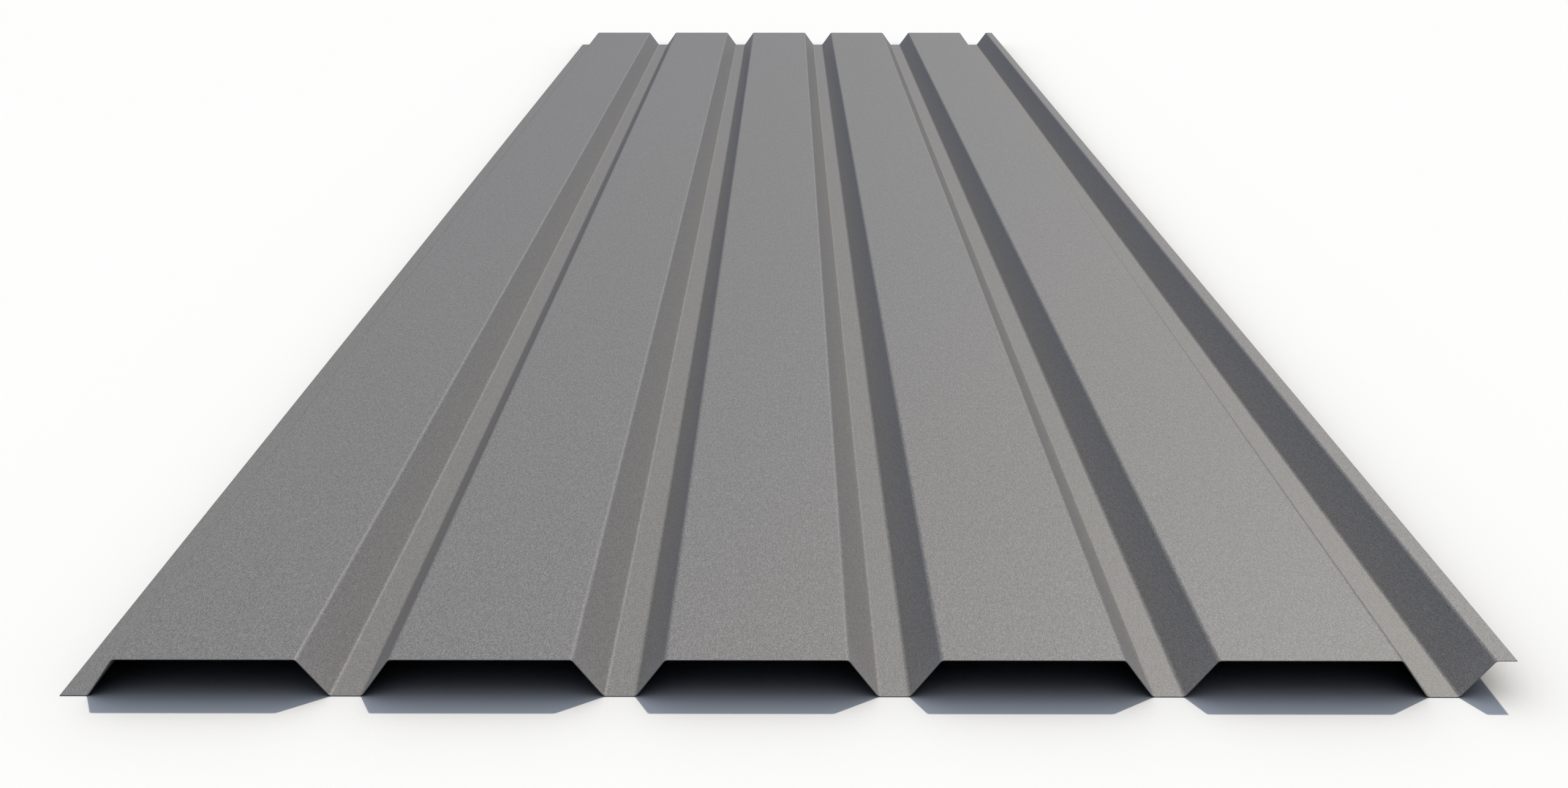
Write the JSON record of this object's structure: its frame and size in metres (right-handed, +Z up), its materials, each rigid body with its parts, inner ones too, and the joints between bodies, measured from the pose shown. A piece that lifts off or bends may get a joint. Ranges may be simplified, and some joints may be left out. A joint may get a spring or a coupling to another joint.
{
  "type": "profiled metal sheet",
  "caption": "Trapezoidal roofing and cladding sheet with wide flat crowns, narrow valleys, sloping flanks and plain side-lap lips, coated in matt grey.",
  "frame": {"origin": "centre of the sheet's plan, at the level of the valleys' undersides, which is the floor it lies on", "axes": "+X across the ribs, from the lower lip to the upper lip; +Y along the ribs; +Z up, out of the weather face with the wide crowns"},
  "size_m": [1.0944, 3.2, 0.032],
  "materials": {
    "coated_steel": "matt, fine-grained grey polyester coating on both faces"
  },
  "bodies": {
    "root": {"profiled_sheet": "coated_steel"}
  },
  "joints": []
}
